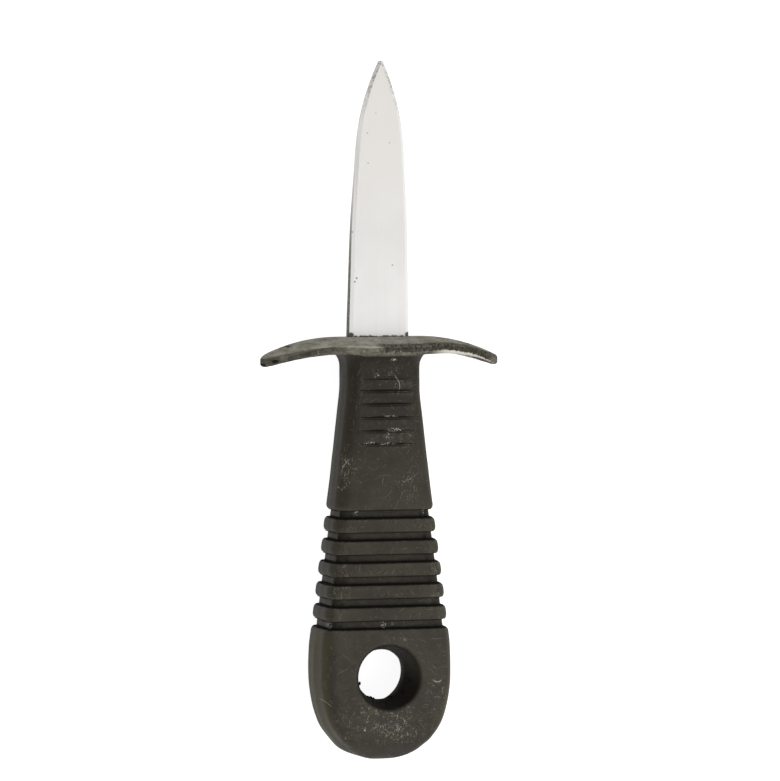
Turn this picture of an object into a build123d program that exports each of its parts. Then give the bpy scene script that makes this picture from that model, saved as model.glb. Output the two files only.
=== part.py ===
"""Oyster knife: a pointed steel blade whose tang is held in a moulded handle with a bowed guard.

Millimetres. The knife lies on its back, as it does on a table: the guard's rim and the
butt's back touch Z = 0, the tip points along +Y and the handle is even about X = 0.
"""
import os
from math import asin, atan2, cos, degrees, hypot, radians, sin, tan

from build123d import *

os.makedirs("parts", exist_ok=True)

# Blade
blade_length = 63.0
blade_width = 14.0
blade_thickness = 3.6
tip_thickness = 1.3
tip_half_angle = radians(26)
tip_flat_width = 0.9
bevel_width = 0.75
bevel_depth = 0.45
blade_edge_shares = ((0.97, 0.20), (0.93, 0.41), (0.84, 0.585), (0.64, 0.80))
blade_shift = -0.47
blade_lean = radians(0.74)

# Tang, inside the handle
shoulder_depth = 5.0
tang_width = 9.0
tang_thickness = 3.0
tang_length = 54.0
tang_hole_radius = 2.2
tang_hole_places = (-18.0, -42.0)

# Handle
handle_length = 97.0
neck_width = 17.2
neck_thickness = 12.6
neck_length = 11.0
thumb_flat_length = 26.0
neck_swell = 1.1
flare_start_depth = 17.0
flare_end_depth = 68.0
butt_swell = 0.8
butt_width = 30.8
butt_thickness = 17.0
butt_round_length = 20.0
butt_round_shares = ((0.34, 0.95), (0.60, 0.837), (0.78, 0.665), (0.895, 0.53), (0.965, 0.30))
butt_flat_length = 29.0
butt_cap_length = 8.55
butt_cap_radius = 8.6
handle_edge_radius = 3.4

# Hanging hole
hole_from_butt = 19.4
hole_throat_radius = 5.8
hole_throat_length = 2.0
hole_mouth_radius = 7.3
hole_rim_radius = 1.2

# Grip ribs
groove_count = 6
groove_pitch = 5.03
groove_width = 1.75
groove_depth = 1.2
first_groove_depth = 40.45
rib_edge_radius = 0.5

# Thumb notches
notch_count = 6
notch_pitch = 3.05
notch_length = 13.6
notch_depth = 0.4
notch_radius = 0.42
first_notch_depth = 9.3

# Guard
guard_width = 56.0
guard_depth = 26.0
guard_thickness = 2.2
guard_flat_width = 19.0
guard_bow_radius = 38.0
guard_crown_radius = 42.0
guard_edge_radius = 0.8
guard_fillet_radius = 4.2

# Slot mouth around the blade
mouth_gap = 0.3
mouth_depth = 0.8

overrun = 2.0


def crown_drop(half):
    """How far the guard's crowned back has fallen at this distance from its middle."""
    return guard_crown_radius - (guard_crown_radius**2 - half**2) ** 0.5


# Rest pose: the two rounded places that touch the table
guard_drop = crown_drop(guard_depth / 2)
rim_along = -guard_drop - guard_thickness + guard_edge_radius
rim_down = -guard_depth / 2 + guard_edge_radius
butt_along = -handle_length + butt_cap_length
butt_down = -butt_thickness / 2 + butt_cap_radius
reach = hypot(rim_along - butt_along, rim_down - butt_down)
slope = atan2(rim_down - butt_down, rim_along - butt_along)
tilt = asin((guard_edge_radius - butt_cap_radius) / reach) - slope

tip_y = blade_length * cos(tilt)
butt_y = -handle_length * cos(tilt)
rest_height = guard_edge_radius - rim_along * sin(tilt) - rim_down * cos(tilt)

along = Vector(0, cos(tilt), sin(tilt))
facing = Vector(0, -sin(tilt), cos(tilt))
base = Vector(0, -(tip_y + butt_y) / 2, rest_height)

plan = Plane(origin=base, x_dir=(1, 0, 0), z_dir=facing)
side = Plane(origin=base, x_dir=along, z_dir=(1, 0, 0))
across = Plane(origin=base, x_dir=(1, 0, 0), z_dir=-along)

# The blade stands a little off true in the moulding
sideways = Vector(cos(blade_lean), 0, 0) - along * sin(blade_lean)
pointing = Vector(sin(blade_lean), 0, 0) + along * cos(blade_lean)
seat = base + Vector(blade_shift, 0, 0)


def across_at(depth):
    """The plane square to the knife at this depth below the guard's top."""
    return across.offset(depth)


def blade_section(height, inset):
    """The blade's outline on the leaning plane at this height, with its edges moved in."""
    lean = atan2((blade_thickness - tip_thickness) / 2, blade_length)
    rise = sin(lean) if height > 0 else -sin(lean)
    leaning = facing * cos(lean) + pointing * rise
    half = blade_width / 2 - inset
    point = blade_length + tip_flat_width / 2 / tan(tip_half_angle)
    point = point - inset / sin(tip_half_angle)
    edge_points = [(half * wide, point * far) for wide, far in blade_edge_shares]
    with BuildSketch(Plane(seat + facing * height, x_dir=sideways, z_dir=leaning)) as section:
        with BuildLine():
            root = Line((0, -shoulder_depth), (half, -shoulder_depth))
            shoulder = Line(root @ 1, (half, 0))
            Spline(
                shoulder @ 1,
                *edge_points,
                (0, point),
                tangents=((0, 1), (-sin(tip_half_angle), cos(tip_half_angle))),
            )
            mirror(about=Plane.YZ)
        make_face()
    return section.sketch


# Blade with its tang
flat_height = blade_thickness / 2
edge_height = flat_height - bevel_depth
blade_sections = [
    blade_section(-flat_height, bevel_width),
    blade_section(-edge_height, 0),
    blade_section(edge_height, 0),
    blade_section(flat_height, bevel_width),
]

tang_run = tang_length - shoulder_depth / 2

with BuildPart() as blade:
    loft(blade_sections, ruled=True)
    with BuildSketch(Plane(seat + pointing * blade_length, x_dir=sideways, z_dir=pointing)):
        Rectangle(blade_width, blade_thickness)
    extrude(amount=blade_length, mode=Mode.SUBTRACT)
    with BuildSketch(Plane(seat - facing * tang_thickness / 2, x_dir=sideways, z_dir=facing)):
        with Locations((0, -tang_length)):
            Rectangle(tang_width, tang_run, align=(Align.CENTER, Align.MIN))
        with Locations([(0, place) for place in tang_hole_places]):
            Circle(tang_hole_radius, mode=Mode.SUBTRACT)
    extrude(amount=tang_thickness)

blade.part.label = "blade"
export_step(blade.part, "parts/blade.step")


def flare_half_width(depth):
    """Half the handle's width at this depth, on its straight flare."""
    start_width = neck_width + neck_swell
    end_width = butt_width - butt_swell
    share = (depth - flare_start_depth) / (flare_end_depth - flare_start_depth)
    return (start_width + (end_width - start_width) * share) / 2


def grip_body(inset):
    """The handle below the guard, without its ribs, with every wall moved in by the inset."""
    end = handle_length - butt_round_length
    cap_angle = degrees(asin((butt_cap_length - inset) / (butt_cap_radius - inset)))
    top = crown_drop(neck_thickness / 2) / 2 + guard_thickness / 2
    half_neck = neck_width / 2 - inset
    half_butt = butt_width / 2 - inset
    round_length = butt_round_length - inset
    round_points = [
        (half_butt * wide, -end - round_length * far) for far, wide in butt_round_shares
    ]
    with BuildPart() as body:
        with BuildSketch(plan.offset(-butt_thickness)):
            with BuildLine():
                crest = Line((0, -top), (half_neck, -top))
                neck = Line(crest @ 1, (half_neck, -neck_length))
                flare = Line(
                    (flare_half_width(flare_start_depth) - inset, -flare_start_depth),
                    (flare_half_width(flare_end_depth) - inset, -flare_end_depth),
                )
                Spline(neck @ 1, flare @ 0, tangents=(neck % 1, flare % 0))
                Spline(flare @ 1, (half_butt, -end), tangents=(flare % 1, neck % 1))
                Spline(
                    (half_butt, -end),
                    *round_points,
                    (0, -end - round_length),
                    tangents=(neck % 1, (-1, 0)),
                )
                mirror(about=Plane.YZ)
            make_face()
        extrude(amount=2 * butt_thickness)
        with BuildSketch(side.offset(-butt_width)):
            with BuildLine():
                crest = Line((-top, 0), (-top, neck_thickness / 2 - inset))
                thumb = Line(crest @ 1, (-thumb_flat_length, neck_thickness / 2 - inset))
                swell = Spline(
                    thumb @ 1,
                    (butt_flat_length - handle_length, butt_thickness / 2 - inset),
                    tangents=((-1, 0), (-1, 0)),
                )
                face = Line(swell @ 1, (butt_along, butt_thickness / 2 - inset))
                cap = JernArc(face @ 1, (-1, 0), butt_cap_radius - inset, cap_angle)
                Line(cap @ 1, (-handle_length + inset, 0))
                mirror(about=Plane.XZ)
            make_face()
        extrude(amount=2 * butt_width, mode=Mode.INTERSECT)
        long_edges = body.edges().filter_by(across, reverse=True)
        fillet(long_edges, radius=handle_edge_radius - inset)
    return body.part


# Guard, bowed away from the tip, with a crowned back and an oval rim
with BuildPart() as guard:
    bow_reach = guard_width / 2 + overrun - guard_flat_width / 2
    bow_angle = degrees(asin(bow_reach / guard_bow_radius))
    with BuildLine(plan) as bow:
        straight = Line((-guard_flat_width / 2, 0), (guard_flat_width / 2, 0))
        JernArc(straight @ 1, (1, 0), guard_bow_radius, -bow_angle)
        JernArc(straight @ 0, (-1, 0), guard_bow_radius, bow_angle)
    start = bow.wires()[0]
    with BuildSketch(Plane(start @ 0, x_dir=facing, z_dir=start % 0)):
        half = guard_depth / 2 + overrun
        upper = crown_drop(half)
        lower = upper + guard_thickness
        with BuildLine():
            crown = ThreePointArc((-half, upper), (0, 0), (half, upper))
            under = ThreePointArc((-half, lower), (0, guard_thickness), (half, lower))
            Line(crown @ 0, under @ 0)
            Line(crown @ 1, under @ 1)
        make_face()
    sweep(path=start)
    with BuildSketch(across_at(-guard_thickness)):
        Ellipse(guard_width / 2, guard_depth / 2)
    extrude(amount=guard_width, mode=Mode.INTERSECT)
    rim = guard.faces().filter_by(GeomType.EXTRUSION)
    fillet(rim.edges().filter_by(Axis(base, along), reverse=True), radius=guard_edge_radius)

# Cutters for the grip grooves and the thumb notches
grip = grip_body(0)
groove_floor = grip_body(groove_depth)

with BuildPart() as grooves:
    with BuildSketch(across_at(first_groove_depth - groove_width / 2)):
        Rectangle(butt_width + overrun, butt_thickness + overrun)
    ring = extrude(amount=groove_width)
    for number in range(1, groove_count):
        add(ring.moved(Location(along * (-groove_pitch * number))))
    add(groove_floor, mode=Mode.SUBTRACT)

with BuildPart() as notches:
    notch_sweep = (notch_length**2 / 4 + notch_depth**2) / (2 * notch_depth)
    notch_height = neck_thickness / 2 - notch_depth + notch_sweep
    for number in range(notch_count):
        with Locations(across_at(first_notch_depth + number * notch_pitch)):
            with Locations((0, notch_height), (0, -notch_height)):
                Torus(notch_sweep - notch_radius, notch_radius)

# Hanging hole, narrowest at the middle
with BuildPart() as hole:
    half_throat = hole_throat_length / 2
    half_span = butt_thickness / 2 + overrun
    widening = (hole_mouth_radius - hole_throat_radius) / (butt_thickness / 2 - half_throat)
    lip_radius = hole_mouth_radius + widening * overrun
    hole_axis = Axis(base + along * (hole_from_butt - handle_length), facing)
    with BuildSketch(Plane(hole_axis.position, x_dir=(1, 0, 0), z_dir=-along)):
        Polygon(
            (0, -half_span),
            (lip_radius, -half_span),
            (hole_throat_radius, -half_throat),
            (hole_throat_radius, half_throat),
            (lip_radius, half_span),
            (0, half_span),
            align=None,
        )
    revolve(axis=hole_axis)

# Handle
with BuildPart() as handle:
    add(grip)
    add(guard.part)
    fillet(handle.edges(Select.NEW), radius=guard_fillet_radius)
    add(grooves.part, mode=Mode.SUBTRACT)
    fillet(handle.edges(Select.NEW), radius=rib_edge_radius)
    add(notches.part, mode=Mode.SUBTRACT)
    add(hole.part, mode=Mode.SUBTRACT)
    rims = handle.edges(Select.NEW).group_by(SortBy.LENGTH)[-1]
    fillet(rims, radius=hole_rim_radius)
    with BuildSketch(Plane(seat + pointing * overrun, x_dir=sideways, z_dir=-pointing)):
        Rectangle(blade_width + 2 * mouth_gap, blade_thickness + 2 * mouth_gap)
    extrude(amount=overrun + mouth_depth, mode=Mode.SUBTRACT)
    add(blade.part, mode=Mode.SUBTRACT)

handle.part.label = "handle"
export_step(handle.part, "parts/handle.step")
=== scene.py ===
"""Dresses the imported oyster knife: worn steel blade, abraded handle moulding, studio and camera.

Places are millimetres right, tipward and up from the middle of the guard's top, on the knife's
own axes. A depth is how far a place lies from there towards the butt.
"""

import math
import random

import bmesh
import bpy
from mathutils import Matrix, Vector, noise
from mathutils.bvhtree import BVHTree


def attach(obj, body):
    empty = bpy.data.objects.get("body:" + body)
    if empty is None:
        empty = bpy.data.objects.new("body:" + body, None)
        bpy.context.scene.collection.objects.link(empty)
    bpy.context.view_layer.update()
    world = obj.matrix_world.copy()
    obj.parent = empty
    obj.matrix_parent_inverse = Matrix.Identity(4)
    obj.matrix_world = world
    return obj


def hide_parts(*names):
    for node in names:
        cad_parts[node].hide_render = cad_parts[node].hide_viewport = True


MM = 0.001

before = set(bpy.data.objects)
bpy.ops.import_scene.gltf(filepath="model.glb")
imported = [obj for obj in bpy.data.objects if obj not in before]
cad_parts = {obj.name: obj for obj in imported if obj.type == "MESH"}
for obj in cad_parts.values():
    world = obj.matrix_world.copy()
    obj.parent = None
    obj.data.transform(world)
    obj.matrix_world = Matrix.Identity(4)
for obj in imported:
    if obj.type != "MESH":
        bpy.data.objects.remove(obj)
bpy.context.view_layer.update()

# Where the knife lies, and the sizes of its solids that the wear, dirt and painted shade follow
TILT = math.radians(3.0236133)
GUARD_MIDDLE = Vector((0.0, 16.976334, 13.165657)) * MM
GUARD_FLAT_WIDTH = 19.0
GUARD_BOW_RADIUS = 38.0
FIRST_NOTCH_DEPTH = 9.3
NOTCH_COUNT = 6
NOTCH_PITCH = 3.05
NOTCH_LENGTH = 13.6
FLARE_START_DEPTH, FLARE_END_DEPTH = 17.0, 68.0
FLARE_START_WALL, FLARE_END_WALL = 9.15, 15.0
FIRST_GROOVE_DEPTH = 40.45
GROOVE_COUNT = 6
GROOVE_PITCH = 5.03
GROOVE_WIDTH = 1.75
GROOVE_DEPTH = 1.2
HOLE_DEPTH = 77.6

# The depths that the guard's arms hang to, where it runs into the neck, and where the ribs are,
# and how far the neck and the hole's rim reach from their middles
ARMS_END = 9.5
FILLET_START, FILLET_END = 5.0, 12.0
GRIP_START, GRIP_END = 38.0, 68.0
NECK_REACH = 8.5
HOLE_RIM_REACH = 9.5
SLACK = 0.05

# The parting line starts at this depth, and the draft is nil at this height on each side of it
PARTING_START = 6.0
PARTING_REACH = 0.01
PARTING_DRAFT = math.radians(2.5)
DRAFT_HEIGHT = 4.5

# The butt's back half is a little fuller than its front half, which is rubbed at the corners
BACK_HEIGHT = 4.0
BACK_FULLNESS = 0.2
BACK_START, BACK_FULL = 66.0, 72.0
BACK_CORNER_FULLNESS = 0.4
BACK_CORNER_START, BACK_CORNER_FULL = 87.0, 91.5
FRONT_CORNER_WEAR = 0.4
FRONT_CORNER_START, FRONT_CORNER_END = (92.0, 94.5), (95.0, 96.8)

# How much of each rib's nose is rubbed away at its two corners, and how far in from them
HEEL_WEAR, HEEL_REACH = 0.62, 1.25
TOE_WEAR, TOE_REACH = 0.45, 0.85
HALF_RIB = (GROOVE_PITCH - GROOVE_WIDTH) / 2

# Sinks in the thick moulding, and dents in the guard's rim but not in its flat top
SINK_DEPTH = 0.1
SINK_SPREAD = 9.0
DENT_DEPTH = 0.1
DENT_SPREAD = 1.9
SMALL_DENT_SHARE, SMALL_DENT_SPREAD = 0.6, 0.8
RIM_INNER, RIM_OUTER = 9.0, 12.0
FLAT_TOP = 0.97

# How finely the meshes are divided, and how near points are merged
HANDLE_EDGE, RIB_EDGE, GUARD_EDGE, POINT_EDGE = 2.0, 0.7, 1.1, 0.25
MERGE_REACH = 0.002
SHORTEST_EDGE = 0.001
SLIVER_AREA = 0.0005

# How sharply a rubbed crest turns, and how much less a far wall and one on the tip's side
# shelter a point
CREST_START, CREST_FULL = 0.15, 0.8
SHELTER_REACH = 4.0
SHELTER_START = 0.03
SHELTER_LOOKS = 16
FAR_LOSS = 0.6
TIP_SIDE_LOSS = 0.6

across = Vector((1.0, 0.0, 0.0))
along = Vector((0.0, math.cos(TILT), math.sin(TILT)))
facing = Vector((0.0, -math.sin(TILT), math.cos(TILT)))
knife_axes = Matrix((across, along, facing))


def to_knife(point):
    """A point of the frame, in metres, as a place on the knife."""
    return knife_axes @ (point - GUARD_MIDDLE) / MM


def from_knife(place):
    """A place on the knife as a point of the frame, in metres."""
    return GUARD_MIDDLE + knife_axes.transposed() @ (Vector(place) * MM)


def smooth_step(value, low, high):
    """0 below low, 1 above high, and a smooth rise between them."""
    share = min(max((value - low) / (high - low), 0.0), 1.0)
    return share * share * (3.0 - 2.0 * share)


def linear(hex_colour):
    """An sRGB hex colour as the linear RGBA that Blender's sockets take."""
    values = [int(hex_colour[i:i + 2], 16) / 255 for i in (1, 3, 5)]
    return [v / 12.92 if v <= 0.04045 else ((v + 0.055) / 1.055) ** 2.4 for v in values] + [1.0]


def add_node(tree, kind, settings=None, **inputs):
    """Adds a node, sets its properties, and sets its inputs or links them, by name or number.

    A node given as an input stands for its first output.
    """
    node = tree.nodes.new(kind)
    for key, value in (settings or {}).items():
        setattr(node, key, value)
    for key, value in inputs.items():
        socket = node.inputs[int(key[1:]) if key[0] == "_" else key.replace("_", " ")]
        if isinstance(value, bpy.types.Node):
            value = value.outputs[0]
        if isinstance(value, bpy.types.NodeSocket):
            tree.links.new(value, socket)
        else:
            socket.default_value = value
    return node


# Meshes

def merged_copy(node, name):
    """The CAD node's mesh as one closed mesh in an object of its own."""
    mesh = node.data.copy()
    mesh.name = name
    shell = bmesh.new()
    shell.from_mesh(mesh)
    bmesh.ops.remove_doubles(shell, verts=shell.verts, dist=MERGE_REACH * MM)
    bmesh.ops.dissolve_degenerate(shell, edges=shell.edges, dist=SHORTEST_EDGE * MM)
    copy = bpy.data.objects.new(name, mesh)
    bpy.context.scene.collection.objects.link(copy)
    return copy, shell


def split_long_edges(shell, longest, within=lambda place: True):
    """Halves the edges longer than this, in millimetres, whose middles lie within a region."""
    for _ in range(8):
        long_edges = [
            edge for edge in shell.edges
            if edge.calc_length() > longest * MM
            and within(to_knife((edge.verts[0].co + edge.verts[1].co) / 2))
        ]
        if not long_edges:
            break
        bmesh.ops.subdivide_edges(shell, edges=long_edges, cuts=1)
        bmesh.ops.triangulate(shell, faces=[face for face in shell.faces if len(face.verts) > 3])
        bmesh.ops.dissolve_degenerate(shell, edges=shell.edges, dist=SHORTEST_EDGE * MM)


def finish_mesh(piece, shell, sharp_angle):
    """Writes the mesh back, smooth except where its faces turn sharply or an edge is marked."""
    for edge in shell.edges:
        smallest = min((face.calc_area() for face in edge.link_faces), default=0.0)
        is_sliver = smallest <= SLIVER_AREA * MM * MM
        if not is_sliver and edge.calc_face_angle(0.0) > math.radians(sharp_angle):
            edge.smooth = False
    for face in shell.faces:
        face.smooth = True
    shell.to_mesh(piece.data)
    shell.free()
    piece.data.update()
    weigh = piece.modifiers.new("weigh_normals", "WEIGHTED_NORMAL")
    weigh.keep_sharp = True
    weigh.weight = 80
    graph = bpy.context.evaluated_depsgraph_get()
    plain = bpy.data.meshes.new_from_object(piece.evaluated_get(graph))
    piece.modifiers.clear()
    piece.data = plain


def face_on(vert):
    """The way a point of the mesh faces, its larger triangles counting for more."""
    total = Vector((0.0, 0.0, 0.0))
    for face in vert.link_faces:
        total += face.normal * face.calc_area() / MM / MM
    return total.normalized() if total.length > 0 else vert.normal


# Handle

def wall_at(depth):
    """How far out the handle's side wall stands at this depth."""
    share = (depth - FLARE_START_DEPTH) / (FLARE_END_DEPTH - FLARE_START_DEPTH)
    return FLARE_START_WALL + (FLARE_END_WALL - FLARE_START_WALL) * share


def near_hole(place):
    """Whether a place is on the hanging hole's wall or rim."""
    return math.hypot(place.x, place.y + HOLE_DEPTH) <= HOLE_RIM_REACH


def in_rib_ends(place):
    """Whether a place is at the side ends of the ribs and grooves."""
    inner_wall = wall_at(-place.y) - GROOVE_DEPTH - 2 * SLACK
    return GRIP_START < -place.y < GRIP_END and abs(place.x) > inner_wall


def on_arms_or_rim(place):
    """Whether a place is on the guard, outside the neck."""
    return -place.y < ARMS_END and math.hypot(place.x / 2, place.z) > NECK_REACH


def draft_and_fullness(place, outward):
    """The mould's draft, and the butt's fuller back and rubbed front corners."""
    sideways = Vector((outward.x, outward.y, 0.0))
    if near_hole(place) or sideways.length <= SLACK:
        return Vector((0.0, 0.0, 0.0))
    depth = -place.y
    draft = (abs(place.z) - DRAFT_HEIGHT) * math.tan(PARTING_DRAFT)
    front = smooth_step(place.z, 0.0, BACK_HEIGHT)
    rubbed = smooth_step(depth, *FRONT_CORNER_START) * (1.0 - smooth_step(depth, *FRONT_CORNER_END))
    inward = draft * smooth_step(depth, FILLET_START, FILLET_END)
    inward += FRONT_CORNER_WEAR * rubbed * front
    fuller = BACK_FULLNESS * smooth_step(depth, BACK_START, BACK_FULL)
    fuller += BACK_CORNER_FULLNESS * smooth_step(depth, BACK_CORNER_START, BACK_CORNER_FULL)
    return across * fuller * (1.0 - front) * outward.x - sideways * inward


def rib_wear(place, outward):
    """The ribs' noses rubbed round, most on the side towards the butt."""
    level = math.hypot(outward.x, outward.z)
    row = (-place.y - FIRST_GROOVE_DEPTH) / GROOVE_PITCH
    off_rib = (row % 1.0 - 0.5) * GROOVE_PITCH
    on_rib = -0.5 < row < GROOVE_COUNT - 0.5 and abs(off_rib) < HALF_RIB + SLACK
    if not on_rib or level <= SLACK:
        return Vector((0.0, 0.0, 0.0))
    out_of_groove = (abs(place.x) - wall_at(-place.y) + GROOVE_DEPTH) / GROOVE_DEPTH
    heel = max(1.0 - (HALF_RIB - off_rib) / HEEL_REACH, 0.0)
    toe = max(1.0 - (HALF_RIB + off_rib) / TOE_REACH, 0.0)
    worn = (HEEL_WEAR * heel * heel + TOE_WEAR * toe * toe) * min(max(out_of_groove, 0.0), 1.0)
    return -across * worn * outward.x / level


def sinks_and_dents(place, outward):
    """Uneven sinks where the thick moulding has cooled, and knocks round the guard's rim."""
    sunk = abs(noise.noise(place / SINK_SPREAD)) * SINK_DEPTH
    sunk *= smooth_step(-place.y, FILLET_START, FILLET_END)
    if -place.y < ARMS_END and outward.y < FLAT_TOP:
        dent = abs(noise.noise(place / DENT_SPREAD))
        dent += SMALL_DENT_SHARE * abs(noise.noise(place / SMALL_DENT_SPREAD))
        sunk += dent * DENT_DEPTH * smooth_step(math.hypot(place.x, place.z), RIM_INNER, RIM_OUTER)
    return -outward * sunk


def turning_of(ways):
    """How sharply the surface turns at each point, evened out twice with its neighbours."""
    turning = {}
    for vert, way in ways.items():
        turn = 0.0
        for edge in vert.link_edges:
            reach = (edge.other_vert(vert).co - vert.co) / MM
            turn -= 2.0 * reach.dot(way) / max(reach.length_squared, 0.01)
        turning[vert] = turn / max(len(vert.link_edges), 1)
    for _ in range(2):
        turning = {
            vert: (turn + sum(turning[edge.other_vert(vert)] for edge in vert.link_edges))
            / (1 + len(vert.link_edges))
            for vert, turn in turning.items()
        }
    return turning


def shelter_of(vert, way, walls, looks):
    """How far a point is walled in, near walls and those towards the butt counting for more."""
    start = vert.co + way * SHELTER_START * MM
    seen = blocked = 0.0
    for look in looks:
        rise = look.dot(way)
        ray = look if rise > 0 else -look
        share = abs(rise) * (1.0 - TIP_SIDE_LOSS * ray.dot(along))
        seen += share
        distance = walls.ray_cast(start, ray, SHELTER_REACH * MM)[3]
        if distance is not None:
            blocked += share * (1.0 - FAR_LOSS * distance / SHELTER_REACH / MM)
    return blocked / max(seen, 0.001)


handle, shell = merged_copy(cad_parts["handle"], "handle_moulding")
crest = shell.verts.layers.float.new("crest")
corner = shell.verts.layers.float.new("corner")

# The mould's parting line runs round the grip at mid thickness
bmesh.ops.bisect_plane(
    shell,
    geom=shell.verts[:] + shell.edges[:] + shell.faces[:],
    plane_co=GUARD_MIDDLE,
    plane_no=facing,
    dist=SHORTEST_EDGE * MM,
)
split_long_edges(shell, HANDLE_EDGE)
split_long_edges(shell, RIB_EDGE, in_rib_ends)
split_long_edges(shell, GUARD_EDGE, on_arms_or_rim)
for edge in shell.edges:
    ends = [to_knife(vert.co) for vert in edge.verts]
    middle = (ends[0] + ends[1]) / 2
    on_parting = max(abs(end.z) for end in ends) < PARTING_REACH
    if on_parting and -middle.y > PARTING_START and not near_hole(middle):
        edge.smooth = False

places = {vert: to_knife(vert.co) for vert in shell.verts}
for vert, place in places.items():
    outward = knife_axes @ face_on(vert)
    move = (
        draft_and_fullness(place, outward)
        + rib_wear(place, outward)
        + sinks_and_dents(place, outward)
    )
    # Nothing reaches past the butt's end
    move.y = max(move.y, 0.0)
    vert.co = from_knife(place + move)

# Crests are rubbed where the surface turns sharply, and sheltered points get painted shade with
# some dirt, most under walls towards the butt, standing in for the softbox's shadow
shell.normal_update()
ways = {vert: face_on(vert) for vert in shell.verts}
spread = random.Random(7)
looks = []
while len(looks) < SHELTER_LOOKS:
    look = Vector([spread.uniform(-1.0, 1.0) for _ in range(3)])
    if 0.2 < look.length < 1.0:
        looks.append(look.normalized())
walls = BVHTree.FromBMesh(shell)
for vert, turn in turning_of(ways).items():
    vert[crest] = smooth_step(turn, CREST_START, CREST_FULL)
    place = to_knife(vert.co)
    by_guard = 0.0 < -place.y < FILLET_END
    if by_guard or GRIP_START < -place.y < GRIP_END or near_hole(place):
        vert[corner] = shelter_of(vert, ways[vert], walls, looks)

# Crumbs of dried shell and grit left on the wall of the hanging hole
CRUMBS = (
    (-6.6, -79.1, 6.0, 0.42),
    (-6.5, -78.7, 6.4, 0.25),
    (-2.2, -83.1, 0.2, 0.55),
    (-1.3, -83.4, -0.6, 0.38),
    (-3.1, -82.7, 1.2, 0.33),
    (2.3, -82.9, 0.8, 0.45),
    (4.6, -81.5, 2.6, 0.35),
    (6.0, -78.9, 3.2, 0.3),
    (0.6, -84.0, 3.4, 0.3),
)
rough_hand = random.Random(41)
for x, y, z, size in CRUMBS:
    middle = from_knife((x, y, z))
    crumb = bmesh.ops.create_icosphere(
        shell, subdivisions=2, radius=size * MM, matrix=Matrix.Translation(middle),
    )
    for vert in crumb["verts"]:
        vert.co = middle + (vert.co - middle) * rough_hand.uniform(0.55, 1.25)
        vert[corner] = 1.0
finish_mesh(handle, shell, sharp_angle=40)


# Blade, whose point is rubbed round

POINT_START, POINT_END = 61.8, 62.95
POINT_RADIUS = 0.8
POINT_MIDDLE = Vector((0.34, POINT_END - POINT_RADIUS))

blade, shell = merged_copy(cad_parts["blade"], "ground_blade")
split_long_edges(shell, POINT_EDGE, lambda place: place.y > POINT_START)
for vert in shell.verts:
    place = to_knife(vert.co)
    off = Vector((place.x, place.y)) - POINT_MIDDLE
    if off.y > 0.0 and off.length > POINT_RADIUS:
        off *= POINT_RADIUS / off.length
        vert.co = from_knife((POINT_MIDDLE.x + off.x, POINT_MIDDLE.y + off.y, place.z))
finish_mesh(blade, shell, sharp_angle=12)


# Materials

TIMES = {"operation": "MULTIPLY"}
PLUS = {"operation": "ADD"}
MINUS = {"operation": "SUBTRACT"}
TIMES_PLUS = {"operation": "MULTIPLY_ADD"}
LARGER = {"operation": "MAXIMUM"}
SIZE = {"operation": "ABSOLUTE"}
LENGTH = {"operation": "LENGTH"}
DOT = {"operation": "DOT_PRODUCT"}
SMOOTH = {"interpolation_type": "SMOOTHSTEP"}
LOCAL = {"vector_type": "TEXTURE"}

# Stretching a pattern this far makes it the same at any height
FLATTEN = 1000.0


def new_material(name):
    """An empty node material, its output, and knife coordinates in millimetres."""
    material = bpy.data.materials.new(name)
    material.use_nodes = True
    tree = material.node_tree
    tree.nodes.clear()
    place = add_node(tree, "ShaderNodeTexCoord").outputs["Object"]
    knife = add_node(
        tree, "ShaderNodeMapping", LOCAL,
        Vector=place, Location=GUARD_MIDDLE, Rotation=(TILT, 0.0, 0.0), Scale=(MM, MM, MM),
    )
    output = add_node(tree, "ShaderNodeOutputMaterial")
    return material, tree, knife, output


def coat(tree, under, over, *masks):
    """One colour, hex or a socket, laid over another as far as all of the masks let it."""
    cover = masks[0]
    for mask in masks[1:]:
        cover = add_node(tree, "ShaderNodeMath", TIMES, _0=cover, _1=mask)
    under, over = [linear(side) if isinstance(side, str) else side for side in (under, over)]
    # The Mix node's colours are its inputs 6 and 7 and its output 2
    laid = add_node(tree, "ShaderNodeMix", {"data_type": "RGBA"}, Factor=cover, _6=under, _7=over)
    return laid.outputs[2]


def between(tree, value, low, high, soft):
    """1 where the value lies between two limits, with soft ends this wide outside them."""
    rise = add_node(
        tree, "ShaderNodeMapRange", SMOOTH, Value=value, From_Min=low - soft, From_Max=low,
    )
    fall = add_node(
        tree, "ShaderNodeMapRange", SMOOTH,
        Value=value, From_Min=high, From_Max=high + soft, To_Min=1.0, To_Max=0.0,
    )
    return add_node(tree, "ShaderNodeMath", TIMES, _0=rise, _1=fall)


def patches(tree, knife, spots, soft=0.35):
    """The strongest of some round patches: each one's place, its reach each way and strength."""
    strongest = 0.0
    for place, reach, strength in spots:
        local = add_node(
            tree, "ShaderNodeMapping", LOCAL, Vector=knife, Location=place, Scale=reach,
        )
        far = add_node(tree, "ShaderNodeVectorMath", LENGTH, _0=local).outputs["Value"]
        spot = add_node(
            tree, "ShaderNodeMapRange", SMOOTH,
            Value=far, From_Min=soft, From_Max=1.0, To_Min=strength, To_Max=0.0,
        )
        strongest = add_node(tree, "ShaderNodeMath", LARGER, _0=strongest, _1=spot)
    return strongest


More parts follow.
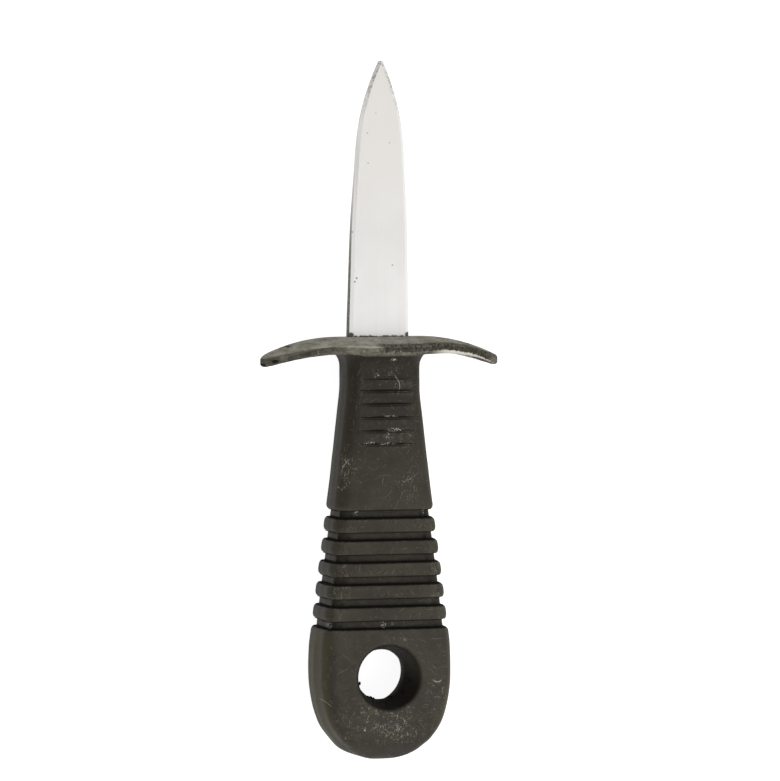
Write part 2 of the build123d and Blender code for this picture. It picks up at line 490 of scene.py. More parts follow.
def scratches(tree, knife, cell, length, thickness, bend, common):
    """Short scratches, each lying its own way in a cell of its own, some bent, some left out."""
    local = add_node(
        tree, "ShaderNodeMapping", LOCAL, Vector=knife, Location=(length, cell, bend),
        Scale=(cell, cell, cell),
    )
    wander = add_node(tree, "ShaderNodeTexNoise", Vector=local, Scale=0.9, Detail=1.0)
    bent = add_node(
        tree, "ShaderNodeVectorMath", TIMES_PLUS,
        _0=wander.outputs["Color"], _1=(bend, bend, bend), _2=local,
    )
    cells = add_node(tree, "ShaderNodeTexVoronoi", Vector=bent, Scale=1.0)
    reach = add_node(
        tree, "ShaderNodeVectorMath", MINUS, _0=bent, _1=cells.outputs["Position"],
    )
    chance = add_node(tree, "ShaderNodeSeparateXYZ", Vector=cells.outputs["Color"])
    angle = add_node(tree, "ShaderNodeMath", TIMES, _0=chance.outputs["X"], _1=math.tau)
    reach = add_node(
        tree, "ShaderNodeVectorRotate", {"rotation_type": "Z_AXIS"}, Vector=reach, Angle=angle,
    )
    reach = add_node(tree, "ShaderNodeSeparateXYZ", Vector=reach)
    beside = add_node(tree, "ShaderNodeMath", SIZE, _0=reach.outputs["Y"])
    line = add_node(
        tree, "ShaderNodeMapRange", SMOOTH, Value=beside,
        From_Min=0.1 * thickness / cell, From_Max=thickness / cell, To_Min=1.0, To_Max=0.0,
    )
    ahead = add_node(tree, "ShaderNodeMath", SIZE, _0=reach.outputs["X"])
    ends = add_node(
        tree, "ShaderNodeMapRange", SMOOTH, Value=ahead,
        From_Min=0.2 * length / cell, From_Max=0.5 * length / cell, To_Min=1.0, To_Max=0.0,
    )
    strength = add_node(
        tree, "ShaderNodeMapRange", Value=chance.outputs["Y"], From_Min=1.0 - common, From_Max=1.0,
    )
    line = add_node(tree, "ShaderNodeMath", TIMES, _0=line, _1=ends)
    return add_node(tree, "ShaderNodeMath", TIMES, _0=line, _1=strength)


def arc_mark(tree, knife, middle, radius, thickness, shown):
    """A curved scrape: the part of a ring that lies in the patch shown."""
    local = add_node(
        tree, "ShaderNodeMapping", LOCAL,
        Vector=knife, Location=middle, Scale=(1.0, 1.0, FLATTEN),
    )
    far = add_node(tree, "ShaderNodeVectorMath", LENGTH, _0=local).outputs["Value"]
    ring = between(tree, far, radius - 0.2 * thickness, radius + 0.2 * thickness, thickness)
    return add_node(tree, "ShaderNodeMath", TIMES, _0=ring, _1=patches(tree, knife, [shown]))


# Glass-filled nylon, moulded with a fine matt grain: olive charcoal, broad soft highlights,
# scuffing to a chalky grey, with painted shade and some dirt in the corners
moulded_nylon, tree, knife, output = new_material("moulded_glass_filled_nylon")
axes = add_node(tree, "ShaderNodeSeparateXYZ", Vector=knife)
surface = add_node(tree, "ShaderNodeTexCoord").outputs["Normal"]
crests = add_node(tree, "ShaderNodeAttribute", {"attribute_name": "crest"}).outputs["Fac"]
corners = add_node(tree, "ShaderNodeAttribute", {"attribute_name": "corner"}).outputs["Fac"]
cloud = add_node(tree, "ShaderNodeTexNoise", Vector=knife, Scale=1 / 11.0, Detail=4.0)
hue_cloud = add_node(tree, "ShaderNodeTexNoise", Vector=knife, Scale=1 / 6.0, Detail=3.0)
mottle = add_node(
    tree, "ShaderNodeTexNoise", Vector=knife, Scale=1 / 2.0, Detail=5.0, Roughness=0.6,
)
patchy = add_node(
    tree, "ShaderNodeTexNoise", Vector=knife, Scale=1 / 1.6, Detail=4.0, Roughness=0.7,
)
grit = add_node(tree, "ShaderNodeTexNoise", Vector=knife, Scale=1 / 0.45, Detail=3.0)
flakes = add_node(tree, "ShaderNodeMapping", Vector=knife, Scale=(1 / 0.4, 1 / 0.22, 1 / 0.4))
flakes = add_node(tree, "ShaderNodeTexNoise", Vector=flakes, Scale=1.0, Detail=4.0, Roughness=0.75)

colour = coat(
    tree, "#332e28", "#3a382f",
    add_node(tree, "ShaderNodeMapRange", SMOOTH, Value=cloud, From_Min=0.35, From_Max=0.65),
)
for over, pattern, low, high, most in (
    ("#322c2a", hue_cloud, 0.45, 0.7, 0.6),
    ("#434036", mottle, 0.4, 0.75, 0.4),
    ("#25221d", grit, 0.5, 0.75, 0.5),
    # The neck darkens towards the guard
    ("#231f1b", axes.outputs["Y"], -44.0, -8.0, 0.62),
):
    cover = add_node(
        tree, "ShaderNodeMapRange", SMOOTH,
        Value=pattern, From_Min=low, From_Max=high, To_Max=most,
    )
    colour = coat(tree, colour, over, cover)

# Painted light: the side walls are painted a lighter olive, most of all on the butt, for the
# light that the floor throws up onto them
sideways = add_node(tree, "ShaderNodeVectorMath", DOT, _0=surface, _1=across).outputs["Value"]
sideways = add_node(tree, "ShaderNodeMath", SIZE, _0=sideways)
colour = coat(
    tree, colour, "#534c37",
    add_node(
        tree, "ShaderNodeMapRange", SMOOTH,
        Value=sideways, From_Min=0.5, From_Max=1.0, To_Max=0.6,
    ),
    add_node(
        tree, "ShaderNodeMapRange", SMOOTH,
        Value=axes.outputs["Y"], From_Min=-68.0, From_Max=-64.0, To_Min=1.0, To_Max=0.3,
    ),
)

# Where it has been handled and knocked, the scratches lie close together
worn = patches(tree, knife, (
    ((2.0, -88.6, 8.0), (9.0, 6.5, 12.0), 1.0),
    ((-4.0, -85.8, 8.0), (6.0, 5.0, 12.0), 0.7),
    ((11.4, -82.5, 8.0), (4.5, 6.5, 12.0), 0.7),
    ((-9.2, -29.5, 6.0), (3.0, 6.5, 9.0), 1.0),
    ((3.0, -22.8, 6.0), (5.0, 3.6, 9.0), 0.8),
    ((5.2, -34.0, 6.5), (4.0, 5.0, 9.0), 0.5),
    ((1.5, -9.5, 6.0), (4.5, 4.5, 9.0), 0.5),
    ((2.0, -69.5, 8.0), (5.0, 2.5, 9.0), 0.6),
    ((-10.0, -88.0, 7.0), (5.0, 5.0, 12.0), 0.5),
    ((-11.5, -56.0, 7.5), (3.5, 9.0, 12.0), 0.5),
    ((11.0, -57.0, 7.5), (4.0, 10.0, 12.0), 0.5),
))
dense = add_node(
    tree, "ShaderNodeMath", TIMES, _0=worn,
    _1=add_node(tree, "ShaderNodeMapRange", SMOOTH, Value=patchy, From_Min=0.38, From_Max=0.6),
)
lightly = add_node(tree, "ShaderNodeMath", LARGER, _0=dense, _1=0.2)

# Scratches lie in the wall they are on, so the side walls take theirs from the height. The Mix
# node's vectors are its inputs 4 and 5 and its output 1.
on_side = add_node(tree, "ShaderNodeMath", {"operation": "GREATER_THAN"}, _0=sideways, _1=0.72)
turned = add_node(
    tree, "ShaderNodeCombineXYZ", X=axes.outputs["Z"], Y=axes.outputs["Y"], Z=axes.outputs["X"],
)
in_wall = add_node(
    tree, "ShaderNodeMix", {"data_type": "VECTOR"}, Factor=on_side, _4=knife, _5=turned,
).outputs[1]
chalky = 0.0
for cell, length, thickness, bend, common, shown in (
    (0.62, 0.75, 0.1, 0.4, 0.5, dense),
    (1.05, 1.1, 0.09, 0.5, 0.45, dense),
    (1.7, 1.7, 0.1, 0.6, 0.4, lightly),
    (3.4, 3.6, 0.11, 0.5, 0.3, lightly),
    (1.3, 0.2, 0.16, 0.0, 0.35, lightly),
):
    lines = scratches(tree, in_wall, cell, length, thickness, bend, common)
    lines = add_node(tree, "ShaderNodeMath", TIMES, _0=lines, _1=shown)
    chalky = add_node(tree, "ShaderNodeMath", LARGER, _0=chalky, _1=lines)

# Four curved scrapes on the front
on_front = add_node(
    tree, "ShaderNodeMapRange", SMOOTH, Value=axes.outputs["Z"], From_Min=1.0, From_Max=3.0,
)
for middle, radius, thickness, shown in (
    ((11.4, -77.6, 8.5), 1.25, 0.16, ((11.4, -79.0, 8.5), (1.9, 1.1, 9.0), 0.8)),
    ((8.0, -58.8, 8.0), 33.0, 0.12, ((-14.2, -82.8, 7.0), (2.2, 1.6, 9.0), 0.45)),
    ((-0.5, -11.4, 6.0), 3.6, 0.12, ((2.9, -10.0, 6.0), (1.5, 3.8, 9.0), 0.6)),
    ((-6.0, -31.0, 6.0), 4.2, 0.14, ((-9.6, -29.0, 6.0), (1.4, 3.4, 9.0), 0.6)),
):
    arc = arc_mark(tree, knife, middle, radius, thickness, shown)
    arc = add_node(tree, "ShaderNodeMath", TIMES, _0=arc, _1=on_front)
    chalky = add_node(tree, "ShaderNodeMath", LARGER, _0=chalky, _1=arc)
broken = add_node(
    tree, "ShaderNodeMapRange", SMOOTH, Value=grit, From_Min=0.3, From_Max=0.55, To_Min=0.35,
)
chalky = add_node(tree, "ShaderNodeMath", TIMES, _0=chalky, _1=broken)
haze = add_node(
    tree, "ShaderNodeMapRange", SMOOTH, Value=flakes, From_Min=0.4, From_Max=0.65, To_Max=0.12,
)
colour = coat(tree, colour, "#77736a", dense, haze)

# Smears where something hard has been dragged down the neck and across the butt, each with
# dark and chalky streaks
smeared = patches(tree, knife, (
    ((-9.5, -29.2, 6.0), (1.5, 3.2, 5.0), 1.0),
    ((-8.2, -27.4, 6.0), (0.9, 1.8, 5.0), 0.7),
    ((-10.9, -34.3, 6.0), (2.2, 0.9, 5.0), 0.95),
    ((5.6, -32.4, 6.6), (1.6, 2.6, 5.0), 0.5),
    ((-10.6, -56.6, 7.5), (2.4, 0.8, 5.0), 0.6),
    ((-2.6, -89.0, 8.5), (2.2, 1.6, 5.0), 0.5),
    ((2.8, -88.2, 8.5), (2.0, 2.6, 5.0), 0.6),
    ((-4.6, -84.6, 8.5), (2.0, 2.0, 5.0), 0.45),
), 0.2)
drag = add_node(tree, "ShaderNodeMapping", Vector=knife, Scale=(1 / 0.22, 1 / 0.8, 1 / 0.8))
drag = add_node(tree, "ShaderNodeTexNoise", Vector=drag, Scale=1.0, Detail=4.0, Roughness=0.65)
dark_streaks = add_node(
    tree, "ShaderNodeMapRange", SMOOTH,
    Value=drag, From_Min=0.34, From_Max=0.44, To_Min=0.8, To_Max=0.0,
)
colour = coat(tree, colour, "#1c1a15", smeared, dark_streaks)
pale_streaks = add_node(
    tree, "ShaderNodeMath", TIMES, _0=smeared,
    _1=add_node(tree, "ShaderNodeMapRange", SMOOTH, Value=drag, From_Min=0.54, From_Max=0.68),
)
chalky = add_node(tree, "ShaderNodeMath", LARGER, _0=chalky, _1=pale_streaks)
colour = coat(tree, colour, "#a5a094", chalky)
rubbed_crests = add_node(
    tree, "ShaderNodeMapRange", SMOOTH, Value=patchy, From_Min=0.4, From_Max=0.7, To_Max=0.35,
)
colour = coat(tree, colour, "#625e52", crests, rubbed_crests)

# Painted shade, with some dirt that no wiping reaches, lies in the sheltered places
sheltered = add_node(
    tree, "ShaderNodeMapRange", SMOOTH, Value=corners, From_Min=0.14, From_Max=0.55,
)

# Painted shade, with some dirt, lies along both walls of each groove with an uneven edge, and
# thinly on its bottom; the thicker line by the lower wall is a painted shadow
EDGE_WANDER = 0.36
GROOVE_TOP = FIRST_GROOVE_DEPTH - GROOVE_WIDTH / 2
GROOVE_END = FIRST_GROOVE_DEPTH + GROOVE_WIDTH / 2

depth = add_node(
    tree, "ShaderNodeMath", TIMES_PLUS, _0=patchy, _1=EDGE_WANDER,
    _2=add_node(tree, "ShaderNodeMath", MINUS, _0=-EDGE_WANDER / 2, _1=axes.outputs["Y"]),
)
in_groove = add_node(
    tree, "ShaderNodeMath", {"operation": "WRAP"}, _0=depth,
    _1=FIRST_GROOVE_DEPTH + GROOVE_PITCH / 2, _2=FIRST_GROOVE_DEPTH - GROOVE_PITCH / 2,
)
lower_wall = between(tree, in_groove, GROOVE_END - 0.275, GROOVE_END + 0.075, 0.22)
upper_wall = between(tree, in_groove, GROOVE_TOP - 0.075, GROOVE_TOP + 0.025, 0.16)
upper_wall = add_node(tree, "ShaderNodeMath", TIMES, _0=upper_wall, _1=0.8)
groove_shade_and_dirt = add_node(tree, "ShaderNodeMath", LARGER, _0=lower_wall, _1=upper_wall)
last_rib = FIRST_GROOVE_DEPTH + (GROOVE_COUNT - 0.6) * GROOVE_PITCH
ribbed = between(tree, depth, GRIP_START, last_rib, 1.0)
groove_shade_and_dirt = add_node(tree, "ShaderNodeMath", TIMES, _0=groove_shade_and_dirt, _1=ribbed)
groove_bottom = between(tree, in_groove, GROOVE_TOP, GROOVE_END, 0.1)
groove_bottom = add_node(tree, "ShaderNodeMath", TIMES, _0=groove_bottom, _1=ribbed)
# The groove bottoms are darkened, partly dirt and partly painted shade, with more painted shade
# where they face sideways
for pattern, low, high, least, most in (
    (mottle, 0.3, 0.7, 0.55, 0.2),
    (sideways, 0.4, 0.9, 0.0, 0.15),
):
    cover = add_node(
        tree, "ShaderNodeMapRange", SMOOTH,
        Value=pattern, From_Min=low, From_Max=high, To_Min=least, To_Max=most,
    )
    colour = coat(tree, colour, "#1d1a15", groove_bottom, cover)

# Each notch is widest at its middle, and a painted shadow lies against its upper side
NOTCH_SHADOW_RISE = 0.22

from_middle = add_node(
    tree, "ShaderNodeMath", TIMES, _0=axes.outputs["X"], _1=2 / NOTCH_LENGTH,
)
narrowing = add_node(tree, "ShaderNodeMath", TIMES, _0=from_middle, _1=from_middle)
narrowing = add_node(tree, "ShaderNodeMath", TIMES_PLUS, _0=narrowing, _1=-1.0, _2=1.0)
narrowing = add_node(tree, "ShaderNodeMath", LARGER, _0=narrowing, _1=0.001)
notch_shadow = add_node(
    tree, "ShaderNodeMath", {"operation": "PINGPONG"}, _1=NOTCH_PITCH / 2,
    _0=add_node(tree, "ShaderNodeMath", PLUS, _0=depth, _1=NOTCH_SHADOW_RISE - FIRST_NOTCH_DEPTH),
)
notch_shadow = add_node(tree, "ShaderNodeMath", {"operation": "DIVIDE"}, _0=notch_shadow, _1=narrowing)
notch_shadow = add_node(
    tree, "ShaderNodeMapRange", SMOOTH,
    Value=notch_shadow, From_Min=0.12, From_Max=0.45, To_Min=1.0, To_Max=0.0,
)
last_notch = FIRST_NOTCH_DEPTH + (NOTCH_COUNT - 1) * NOTCH_PITCH
notched = between(tree, depth, FIRST_NOTCH_DEPTH + 1.6, last_notch + 0.7, 1.6)
notch_shadow = add_node(tree, "ShaderNodeMath", TIMES, _0=notch_shadow, _1=notched)

# The hole's wall is darkened all round with painted shade and some grime, least towards its
# upper right, where the light falls
bore = add_node(
    tree, "ShaderNodeMapping", LOCAL,
    Vector=knife, Location=(0.0, -HOLE_DEPTH, 0.0), Scale=(1.0, 1.0, FLATTEN),
)
from_axis = add_node(tree, "ShaderNodeVectorMath", LENGTH, _0=bore).outputs["Value"]
bore_shade_and_grime = add_node(
    tree, "ShaderNodeMapRange", SMOOTH,
    Value=from_axis, From_Min=7.2, From_Max=8.0, To_Min=1.0, To_Max=0.0,
)
up_right = add_node(tree, "ShaderNodeVectorMath", DOT, _0=bore, _1=(0.09, 0.09, 0.0))
shade_less_up_right = add_node(
    tree, "ShaderNodeMapRange", SMOOTH,
    Value=up_right.outputs["Value"], From_Min=0.3, From_Max=0.9, To_Min=0.93, To_Max=0.66,
)
bore_shade_and_grime = add_node(tree, "ShaderNodeMath", TIMES, _0=bore_shade_and_grime, _1=shade_less_up_right)
# All the painted shade and shadow, with the dirt and crumbs, darkens the colour to near black
shade_and_dirt = sheltered
for mask in (groove_shade_and_dirt, notch_shadow, bore_shade_and_grime):
    shade_and_dirt = add_node(tree, "ShaderNodeMath", LARGER, _0=shade_and_dirt, _1=mask)
colour = coat(tree, colour, "#110f0c", shade_and_dirt, 0.88)

# Chips that have come up white, in the lower notches and in the end grooves
chipped = patches(tree, knife, (
    ((1.8, -21.1, 6.0), (2.8, 0.5, 3.0), 1.0),
    ((0.2, -22.6, 6.0), (0.8, 1.2, 3.0), 0.55),
    ((0.3, -24.3, 6.0), (2.6, 0.4, 3.0), 0.75),
    ((-4.0, -24.1, 6.0), (2.0, 0.45, 3.0), 0.75),
    ((1.0, -18.0, 6.0), (2.4, 0.35, 3.0), 0.65),
    ((1.3, -5.1, 7.0), (1.1, 0.5, 3.0), 1.0),
    ((-2.4, -8.6, 6.5), (1.0, 0.7, 3.0), 0.6),
    ((-10.1, -91.3, 8.0), (0.5, 0.5, 3.0), 1.0),
    ((-5.8, -89.3, 8.0), (0.7, 0.6, 3.0), 0.8),
    ((-11.5, -39.9, 6.4), (0.5, 0.9, 3.0), 0.9),
    ((-7.0, -40.0, 6.4), (0.7, 0.7, 3.0), 0.8),
    ((8.7, -40.1, 6.4), (0.35, 1.1, 3.0), 1.0),
    ((-13.4, -65.5, 6.0), (0.6, 1.0, 5.0), 1.0),
    ((-1.1, -65.6, 7.2), (0.8, 1.0, 3.0), 1.0),
    ((1.0, -65.3, 7.2), (0.4, 0.4, 3.0), 0.7),
), 0.3)
chips = add_node(tree, "ShaderNodeMapRange", SMOOTH, Value=flakes, From_Min=0.53, From_Max=0.6)
colour = coat(tree, colour, "#d2cec2", chipped, chips)

# The guard's own depths follow its bow: an arc falls away from its tangent by about half the
# run squared over the radius, and a little more on these long arms
ARC_FALL = 0.53 / GUARD_BOW_RADIUS
CROWN_FALL = 0.05

beyond = add_node(tree, "ShaderNodeMath", SIZE, _0=axes.outputs["X"])
beyond = add_node(tree, "ShaderNodeMath", PLUS, _0=beyond, _1=-GUARD_FLAT_WIDTH / 2)
beyond = add_node(tree, "ShaderNodeMath", LARGER, _0=beyond, _1=0.0)
bow = add_node(tree, "ShaderNodeMath", TIMES, _0=beyond, _1=beyond)
below_top = add_node(
    tree, "ShaderNodeMath", TIMES_PLUS, _0=bow, _1=-ARC_FALL,
    _2=add_node(tree, "ShaderNodeMath", TIMES, _0=axes.outputs["Y"], _1=-1.0),
)
off_middle = add_node(tree, "ShaderNodeMath", SIZE, _0=axes.outputs["Z"])
below_top = add_node(
    tree, "ShaderNodeMath", TIMES_PLUS, _0=off_middle, _1=CROWN_FALL, _2=below_top,
)

# Its nap is combed along the rim, which makes the edge of each band ragged
COMB_WANDER = 0.9

nap = add_node(tree, "ShaderNodeMapping", Vector=knife, Scale=(1 / 3.4, 1 / 1.1, 1 / 3.6))
nap = add_node(tree, "ShaderNodeTexNoise", Vector=nap, Scale=1.0, Detail=5.0, Roughness=0.7)
comb = add_node(tree, "ShaderNodeMapping", Vector=knife, Scale=(1 / 0.5, 1 / 0.8, 1 / 1.5))
comb = add_node(tree, "ShaderNodeTexNoise", Vector=comb, Scale=1.0, Detail=3.0)
ragged = add_node(tree, "ShaderNodeMath", TIMES_PLUS, _0=comb, _1=COMB_WANDER, _2=below_top)
ragged = add_node(tree, "ShaderNodeMath", PLUS, _0=ragged, _1=-COMB_WANDER / 2)

# Everything on the guard but the neck's fillet takes the guard's colours
off_neck = between(tree, off_middle, 8.6, 40.0, 0.5)
past_neck = add_node(
    tree, "ShaderNodeMapRange", SMOOTH, Value=beyond, From_Min=1.2, From_Max=2.4,
)
tipward = add_node(tree, "ShaderNodeVectorMath", DOT, _0=surface, _1=along).outputs["Value"]
on_top = add_node(
    tree, "ShaderNodeMapRange", SMOOTH, Value=tipward, From_Min=0.3, From_Max=0.8,
)
on_guard = off_neck
for mask in (past_neck, on_top):
    on_guard = add_node(tree, "ShaderNodeMath", LARGER, _0=on_guard, _1=mask)
guard_depths = between(tree, ragged, -5.0, 5.6, 0.8)
on_guard = add_node(tree, "ShaderNodeMath", TIMES, _0=on_guard, _1=guard_depths)

# It is rubbed pale, and its top is painted palest, partly wear and partly a painted sheen
rubbed = add_node(tree, "ShaderNodeMapRange", SMOOTH, Value=nap, From_Min=0.3, From_Max=0.7)
guard_colour = coat(
    tree,
    coat(tree, "#494640", "#716e62", rubbed),
    coat(tree, "#8b8879", "#bfbcae", rubbed),
    on_top,
)
for over, low, high, least, most in (
    ("#cfccbf", 0.58, 0.75, 0.0, 0.22),
    ("#3a382f", 0.28, 0.44, 0.4, 0.0),
):
    cover = add_node(
        tree, "ShaderNodeMapRange", SMOOTH,
        Value=comb, From_Min=low, From_Max=high, To_Min=least, To_Max=most,
    )
    guard_colour = coat(tree, guard_colour, over, cover)

# A dark ragged band along the front edge, slanting on the right arm, and below it a painted
# highlight, a bright lip lit from below on the right arm
slanting = add_node(tree, "ShaderNodeMath", LARGER, _0=axes.outputs["X"], _1=5.0)
slanting = add_node(tree, "ShaderNodeMath", TIMES_PLUS, _0=slanting, _1=0.05, _2=ragged)
right_band = add_node(
    tree, "ShaderNodeMath", TIMES,
    _0=between(tree, slanting, 2.3, 3.9, 0.3),
    _1=between(tree, axes.outputs["X"], -1.5, 23.0, 3.0),
)
left_band = add_node(
    tree, "ShaderNodeMath", TIMES,
    _0=between(tree, ragged, 2.2, 3.0, 0.3),
    _1=between(tree, axes.outputs["X"], -23.0, -14.0, 2.0),
)
left_band = add_node(tree, "ShaderNodeMath", TIMES, _0=left_band, _1=0.7)
band = add_node(tree, "ShaderNodeMath", LARGER, _0=right_band, _1=left_band)
combed_band = add_node(
    tree, "ShaderNodeMapRange", SMOOTH,
    Value=comb, From_Min=0.3, From_Max=0.65, To_Min=0.95, To_Max=0.6,
)
guard_colour = coat(tree, guard_colour, "#2b2921", band, combed_band)
# Painted highlight: the bright lip under the band on the right arm
below_band = add_node(
    tree, "ShaderNodeMapRange", SMOOTH, Value=slanting, From_Min=3.8, From_Max=4.1,
)
right_arm = add_node(
    tree, "ShaderNodeMapRange", SMOOTH, Value=axes.outputs["X"], From_Min=8.0, From_Max=14.0,
)
guard_colour = coat(tree, guard_colour, "#cdcac0", below_band, right_arm, 0.9)

# Nicks filled with dirt, and a speck of rust where the blade goes in
nicked = patches(tree, knife, (
    ((-25.9, -5.3, 6.0), (1.0, 0.6, 5.0), 1.0),
    ((-27.9, -6.3, 2.0), (0.7, 0.6, 6.0), 1.0),
    ((-22.3, -1.8, 1.0), (1.3, 0.6, 9.0), 1.0),
    ((19.8, -1.5, 6.0), (1.0, 0.5, 5.0), 0.7),
    ((24.8, -3.8, 3.0), (0.9, 0.5, 5.0), 0.7),
    ((-8.0, -0.9, 6.0), (0.8, 0.3, 4.0), 0.5),
), 0.5)
nicks = add_node(tree, "ShaderNodeMapRange", SMOOTH, Value=flakes, From_Min=0.35, From_Max=0.5)
guard_colour = coat(tree, guard_colour, "#14120e", nicked, nicks)
rust = patches(tree, knife, [((0.4, -1.1, 6.0), (0.5, 0.4, 3.0), 0.7)])
guard_colour = coat(tree, guard_colour, "#8a4a3c", rust)
colour = coat(tree, colour, guard_colour, on_guard)

# The matt grain, with the comb's furrows on the guard; a real grain of about 0.05 mm is drawn
# as coarse as it needs to show
grain = add_node(tree, "ShaderNodeTexNoise", Vector=knife, Scale=1 / 0.28, Detail=3.0)
furrows = add_node(
    tree, "ShaderNodeMapRange", SMOOTH,
    Value=axes.outputs["Y"], From_Min=-7.0, From_Max=-3.0, To_Max=1.5,
)
relief = add_node(tree, "ShaderNodeMath", TIMES_PLUS, _0=furrows, _1=comb, _2=grain)
bump = add_node(tree, "ShaderNodeBump", Strength=0.5, Distance=0.06 * MM, Height=relief)
roughness = add_node(tree, "ShaderNodeMapRange", Value=mottle, To_Min=0.5, To_Max=0.66)
for mask in (shade_and_dirt, on_guard):
    roughness = add_node(tree, "ShaderNodeMath", LARGER, _0=roughness, _1=mask)
shader = add_node(
    tree, "ShaderNodeBsdfPrincipled", Base_Color=colour, Roughness=roughness,
    IOR=1.53, Specular_IOR_Level=0.1, Normal=bump,
)
tree.links.new(shader.outputs[0], output.inputs["Surface"])
handle.data.materials.clear()
handle.data.materials.append(moulded_nylon)


# Stainless steel, ground lengthways and tumbled: pale, softly mirroring, with a thin grey line
# round the point, sheared edges left unground, partly a darker finish and partly painted
# shade reflected by the handle, and a few pits
ground_stainless, tree, knife, output = new_material("ground_stainless_steel")
axes = add_node(tree, "ShaderNodeSeparateXYZ", Vector=knife)
surface = add_node(tree, "ShaderNodeTexCoord").outputs["Normal"]
upright = add_node(tree, "ShaderNodeVectorMath", DOT, _0=surface, _1=facing).outputs["Value"]
upright = add_node(tree, "ShaderNodeMath", SIZE, _0=upright)
streak = add_node(tree, "ShaderNodeMapping", Vector=knife, Scale=(1 / 0.5, 1 / 40.0, 1 / 3.0))
streak = add_node(tree, "ShaderNodeTexNoise", Vector=streak, Scale=1.0, Detail=3.0)
cloud = add_node(tree, "ShaderNodeTexNoise", Vector=knife, Scale=1 / 11.0, Detail=3.0)
coarse = add_node(tree, "ShaderNodeTexNoise", Vector=knife, Scale=1 / 0.7, Detail=4.0)

# The flats, warmer towards the tip
colour = "#c4c3c1"
for over, pattern, low, high, most in (
    ("#cac9c7", cloud, 0.3, 0.7, 1.0),
    ("#bab8b3", streak, 0.3, 0.75, 0.16),
    ("#d1cec9", axes.outputs["Y"], 5.0, 55.0, 0.8),
):
    cover = add_node(
        tree, "ShaderNodeMapRange", SMOOTH,
        Value=pattern, From_Min=low, From_Max=high, To_Max=most,
    )
    colour = coat(tree, colour, over, cover)

# The bevels, bright but for a coarse grey grind near the point
bevel = between(tree, upright, 0.5, 0.92, 0.05)
colour = coat(tree, colour, "#f6f5f3", bevel)
near_point = add_node(
    tree, "ShaderNodeMapRange", SMOOTH, Value=axes.outputs["Y"], From_Min=46.0, From_Max=60.0,
)
grind = add_node(
    tree, "ShaderNodeMapRange", SMOOTH,
    Value=coarse, From_Min=0.4, From_Max=0.6, To_Min=0.2, To_Max=0.9,
)
colour = coat(tree, colour, "#b9b5ad", bevel, near_point, grind)

# The sheared sides, partly a darker unground finish and partly painted shade, darkest by the
# handle, where the floor they reflect is shaded
up_the_side = add_node(
    tree, "ShaderNodeMapRange", SMOOTH, Value=axes.outputs["Y"], From_Min=14.0, From_Max=42.0,
)
side_colour = coat(tree, "#47433c", "#c9c6c0", up_the_side)
side_colour = coat(tree, side_colour, "#a9a59d", near_point, 0.5)
torn = add_node(
    tree, "ShaderNodeMapRange", SMOOTH,
    Value=coarse, From_Min=0.3, From_Max=0.6, To_Min=0.75, To_Max=1.0,
)
sheared = add_node(
    tree, "ShaderNodeMapRange", SMOOTH,
    Value=upright, From_Min=0.2, From_Max=0.4, To_Min=1.0, To_Max=0.0,
)
colour = coat(tree, colour, side_colour, torn, sheared)

# Pits, by their places on the front and their sizes, and a dark line at the root, partly gunk
# and partly painted shade where the blade goes into the guard
PITS = (
    (-6.75, 23.9, 0.42), (5.5, 41.8, 0.36), (-5.8, 13.4, 0.34), (-6.2, 12.6, 0.3),
    (-1.0, 51.0, 0.34), (-3.1, 46.4, 0.34), (2.2, 44.2, 0.28), (2.7, 16.3, 0.26),
    (-2.9, 39.6, 0.28), (-3.9, 52.4, 0.4),
)
ROOT_CORNERS = (-7.1, 6.2)

pits = patches(tree, knife, [((x, y, 1.5), (size, size, 1.0), 0.75) for x, y, size in PITS])
colour = coat(tree, colour, "#4b4842", pits)
root = add_node(
    tree, "ShaderNodeMath", TIMES_PLUS, _0=coarse, _1=-1.3, _2=axes.outputs["Y"],
)
root = add_node(
    tree, "ShaderNodeMapRange", SMOOTH,
    Value=root, From_Min=-0.62, From_Max=-0.32, To_Min=1.0, To_Max=0.0,
)
root_corners = [((x, 0.4, 1.3), (0.9, 0.8, 2.0), 1.0) for x in ROOT_CORNERS]
root = add_node(
    tree, "ShaderNodeMath", LARGER, _0=root, _1=patches(tree, knife, root_corners, 0.5),
)
colour = coat(tree, colour, "#2b2822", root, 0.92)

roughness = add_node(tree, "ShaderNodeMapRange", Value=streak, To_Min=0.26, To_Max=0.36)
for mask in (sheared, pits):
    roughness = add_node(tree, "ShaderNodeMath", TIMES_PLUS, _0=mask, _1=0.25, _2=roughness)
relief = add_node(tree, "ShaderNodeMath", TIMES_PLUS, _0=pits, _1=-2.6, _2=streak)
bump = add_node(tree, "ShaderNodeBump", Strength=0.25, Distance=0.02 * MM, Height=relief)
shader = add_node(
    tree, "ShaderNodeBsdfPrincipled",
    Base_Color=colour, Metallic=1.0, Roughness=roughness, Normal=bump,
)
tree.links.new(shader.outputs[0], output.inputs["Surface"])
blade.data.materials.clear()
blade.data.materials.append(ground_stainless)

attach(handle, "root")
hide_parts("handle")
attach(blade, "root")
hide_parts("blade")


# Floor: pale paper that looks white to the camera and in reflections

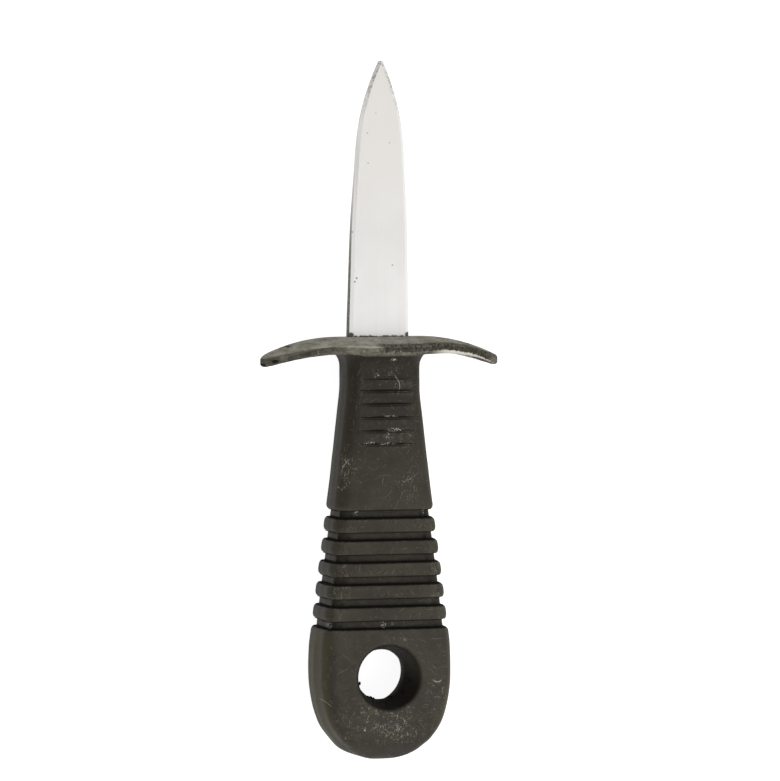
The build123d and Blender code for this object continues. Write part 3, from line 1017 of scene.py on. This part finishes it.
FLOOR_REACH = 4.0
floor_mesh = bpy.data.meshes.new("floor")
floor_mesh.from_pydata(
    [(FLOOR_REACH * x, FLOOR_REACH * y, 0.0) for x, y in ((-1, -1), (1, -1), (1, 1), (-1, 1))],
    [], [(0, 1, 2, 3)],
)
floor = bpy.data.objects.new("floor", floor_mesh)
bpy.context.scene.collection.objects.link(floor)
paper = bpy.data.materials.new("white_paper")
paper.use_nodes = True
tree = paper.node_tree
tree.nodes.clear()
path = add_node(tree, "ShaderNodeLightPath")
seen = 0.0
for ray in ("Is Camera Ray", "Is Glossy Ray", "Is Transmission Ray"):
    seen = add_node(tree, "ShaderNodeMath", LARGER, _0=seen, _1=path.outputs[ray])
glowing = add_node(tree, "ShaderNodeMath", TIMES, _0=seen, _1=0.9)
lit = add_node(tree, "ShaderNodeBsdfDiffuse", Color=linear("#a8a8a8"))
glow = add_node(tree, "ShaderNodeEmission", Color=linear("#ffffff"), Strength=glowing)
both = add_node(tree, "ShaderNodeAddShader", _0=lit, _1=glow)
add_node(tree, "ShaderNodeOutputMaterial", Surface=both)
floor_mesh.materials.append(paper)


# Light: a dim horizon and a bright ceiling, a little brighter to the right and behind the butt

world = bpy.data.worlds.new("studio")
bpy.context.scene.world = world
world.use_nodes = True
tree = world.node_tree
tree.nodes.clear()
direction = add_node(tree, "ShaderNodeTexCoord").outputs["Generated"]
leaning = add_node(
    tree, "ShaderNodeVectorMath", DOT, _0=direction, _1=(0.28, -0.16, 0.9),
).outputs["Value"]
sky_light = add_node(
    tree, "ShaderNodeMapRange", SMOOTH,
    Value=leaning, From_Min=0.0, From_Max=0.52, To_Min=0.07, To_Max=1.0,
)
sky = add_node(tree, "ShaderNodeBackground", Color=linear("#ffffff"), Strength=sky_light)
add_node(tree, "ShaderNodeOutputWorld", Surface=sky)

SOFTBOX_WIDTH = 0.8
SOFTBOX_WATTS = 6.0
SOFTBOX_PLACE = (0.38, -0.6, 1.1)

softbox = bpy.data.lights.new("softbox", "AREA")
softbox.shape = "SQUARE"
softbox.size = SOFTBOX_WIDTH
softbox.energy = SOFTBOX_WATTS
lamp = bpy.data.objects.new("softbox", softbox)
lamp.location = SOFTBOX_PLACE
lamp.rotation_euler = (-lamp.location).to_track_quat("-Z", "Y").to_euler()
bpy.context.scene.collection.objects.link(lamp)


# Camera: the photograph looks down on the knife, a little from its left and from its tip

YAW = math.radians(15.5)
PITCH = math.radians(2.9)
ROLL = math.radians(0.06)
DISTANCE = 1.2
PX_PER_MM = 4.3681
FRAME_WIDTH, FRAME_HEIGHT = 780, 781
AIM = (0.0, -17.0, 0.0)
AIM_PX = (379.35, 410.46)

towards = (
    -across * math.sin(YAW) * math.cos(PITCH)
    + along * math.sin(PITCH)
    + facing * math.cos(YAW) * math.cos(PITCH)
)
upward = (along - towards * along.dot(towards)).normalized()
rightward = upward.cross(towards)
camera_data = bpy.data.cameras.new("camera")
camera_data.sensor_fit = "HORIZONTAL"
camera_data.sensor_width = 36.0
camera_data.lens = PX_PER_MM * DISTANCE / MM / FRAME_WIDTH * camera_data.sensor_width
camera_data.shift_x = (FRAME_WIDTH / 2 - AIM_PX[0]) / FRAME_WIDTH
camera_data.shift_y = (AIM_PX[1] - FRAME_HEIGHT / 2) / FRAME_WIDTH
camera_data.clip_start = 0.05
camera_data.clip_end = 20.0
camera = bpy.data.objects.new("camera", camera_data)
turn = Matrix((rightward, upward, towards)).transposed().to_4x4() @ Matrix.Rotation(-ROLL, 4, "Z")
camera.matrix_world = Matrix.Translation(from_knife(AIM) + towards * DISTANCE) @ turn
bpy.context.scene.collection.objects.link(camera)
bpy.context.scene.camera = camera
bpy.context.scene.view_settings.view_transform = "Standard"
